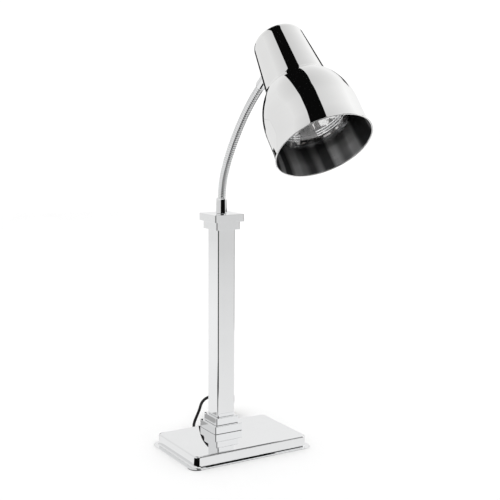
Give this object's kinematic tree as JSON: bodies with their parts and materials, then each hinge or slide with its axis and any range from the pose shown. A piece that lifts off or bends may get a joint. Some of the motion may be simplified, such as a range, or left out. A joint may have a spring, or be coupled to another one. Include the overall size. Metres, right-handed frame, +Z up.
{
  "type": "heat lamp warmer",
  "caption": "Counter-top food warmer: a weighted base, a square column, a flexible gooseneck and a bell-shaped metal shade holding a reflector heat lamp.",
  "frame": {"origin": "middle of the base's underside, on the counter", "axes": "+Z up, X along the base's long side, -Y towards the food, which the shade leans over"},
  "size_m": [0.273, 0.5837, 0.8206],
  "materials": {
    "polished_steel": "mirror-polished stainless steel",
    "polished_shade": "mirror-polished outside, dull inside",
    "gooseneck_steel": "polished interlocked spiral hose",
    "zinc_steel": "zinc-plated steel",
    "ballast_iron": "black-coated iron",
    "brass": "brass",
    "pad_rubber": "matt black rubber sheet",
    "cord_rubber": "matt black rubber flex",
    "tie_plastic": "black hook-and-loop strap",
    "switch_plastic": "black moulded plastic",
    "porcelain": "glazed white porcelain",
    "terminal_nylon": "natural nylon",
    "lamp_glass": "clear face with a silvered reflector behind it",
    "tungsten": "tungsten wire and its support",
    "wire_sleeve": "glass-fibre sleeved wires"
  },
  "bodies": {
    "stand": {"base_cover": "polished_steel", "plinth_lower": "polished_steel", "plinth_upper": "polished_steel", "capital_lower": "polished_steel", "capital_upper": "polished_steel", "column_tube": "polished_steel", "neck_lower_ferrule": "polished_steel", "base_bottom_plate": "zinc_steel", "plate_screw_1": "zinc_steel", "plate_screw_2": "zinc_steel", "plate_screw_3": "zinc_steel", "plate_screw_4": "zinc_steel", "base_bolt": "zinc_steel", "base_bolt_washer": "zinc_steel", "column_foot_block": "zinc_steel", "column_head_block": "zinc_steel", "wiring_bracket": "zinc_steel", "neck_stem": "zinc_steel", "neck_stem_washer": "zinc_steel", "neck_stem_nut": "zinc_steel", "base_ballast": "ballast_iron", "base_pad": "pad_rubber", "cord_lead": "cord_rubber", "cord_hank": "cord_rubber", "cord_tail": "cord_rubber", "cord_gland": "cord_rubber", "plug_body": "cord_rubber", "plug_relief": "cord_rubber", "supply_cores": "cord_rubber", "lamp_cable": "cord_rubber", "cord_tie": "tie_plastic", "terminal_block": "terminal_nylon", "plug_blade_1": "brass", "plug_blade_2": "brass", "plug_earth_pin": "brass", "switch_body": "switch_plastic"},
    "rocker": {"switch_rocker": "switch_plastic"},
    "neck_1": {"neck_link_1": "gooseneck_steel"},
    "neck_2": {"neck_link_2": "gooseneck_steel"},
    "neck_3": {"neck_link_3": "gooseneck_steel"},
    "neck_4": {"neck_link_4": "gooseneck_steel"},
    "neck_5": {"neck_link_5": "gooseneck_steel"},
    "neck_6": {"neck_link_6": "gooseneck_steel"},
    "neck_7": {"neck_link_7": "gooseneck_steel"},
    "neck_8": {"neck_link_8": "gooseneck_steel"},
    "head": {"holder_body": "porcelain", "holder_bracket": "zinc_steel", "holder_contact": "brass", "holder_shell": "brass", "holder_wires": "wire_sleeve", "lamp_cap": "brass", "lamp_filament": "tungsten", "lamp_glass": "lamp_glass", "mount_collar": "polished_steel", "neck_upper_ferrule": "polished_steel", "shade": "polished_shade", "upper_nut": "zinc_steel", "upper_stem": "zinc_steel", "upper_washer": "zinc_steel"}
  },
  "joints": [
    {"name": "switch_rock", "type": "hinge", "parent": "stand", "child": "rocker", "pos_m": [0, 0.061, 0.122], "axis": [1, 0, 0], "range_deg": [-20, 0]},
    {"name": "neck_lower_bend", "type": "hinge", "parent": "stand", "child": "neck_1", "pos_m": [0, 0.044, 0.4995], "axis": [1, 0, 0], "range_deg": [-20, 14]},
    {"name": "neck_sway", "type": "hinge", "parent": "neck_1", "child": "neck_2", "pos_m": [0, 0.03917, 0.53184], "axis": [0, 0.9636, 0.2672], "range_deg": [-12, 12]},
    {"name": "neck_lower_bend_2", "type": "hinge", "parent": "neck_2", "child": "neck_3", "pos_m": [0, 0.02666, 0.56205], "axis": [1, 0, 0], "range_deg": [-20, 14]},
    {"name": "neck_sway_2", "type": "hinge", "parent": "neck_3", "child": "neck_4", "pos_m": [0, 0.01031, 0.59037], "axis": [0, 0.848, 0.5299], "range_deg": [-12, 12]},
    {"name": "neck_upper_bend", "type": "hinge", "parent": "neck_4", "child": "neck_5", "pos_m": [0, -0.00798, 0.61748], "axis": [1, 0, 0], "range_deg": [-20, 12]},
    {"name": "neck_sway_3", "type": "hinge", "parent": "neck_5", "child": "neck_6", "pos_m": [0, -0.02789, 0.64342], "axis": [0, 0.7744, 0.6327], "range_deg": [-12, 12]},
    {"name": "neck_upper_bend_2", "type": "hinge", "parent": "neck_6", "child": "neck_7", "pos_m": [0, -0.04934, 0.6681], "axis": [1, 0, 0], "range_deg": [-20, 12]},
    {"name": "neck_sway_4", "type": "hinge", "parent": "neck_7", "child": "neck_8", "pos_m": [0, -0.07266, 0.69102], "axis": [0, 0.6691, 0.7431], "range_deg": [-12, 12]},
    {"name": "neck_upper_bend_3", "type": "hinge", "parent": "neck_8", "child": "head", "pos_m": [0, -0.09789, 0.71182], "axis": [1, 0, 0], "range_deg": [-20, 12]}
  ],
  "couplings": [
    {"joint": "neck_lower_bend_2", "follows": "neck_lower_bend", "ratio": 1},
    {"joint": "neck_sway_2", "follows": "neck_sway", "ratio": 1},
    {"joint": "neck_sway_3", "follows": "neck_sway", "ratio": 1},
    {"joint": "neck_upper_bend_2", "follows": "neck_upper_bend", "ratio": 1},
    {"joint": "neck_sway_4", "follows": "neck_sway", "ratio": 1},
    {"joint": "neck_upper_bend_3", "follows": "neck_upper_bend", "ratio": 1}
  ]
}
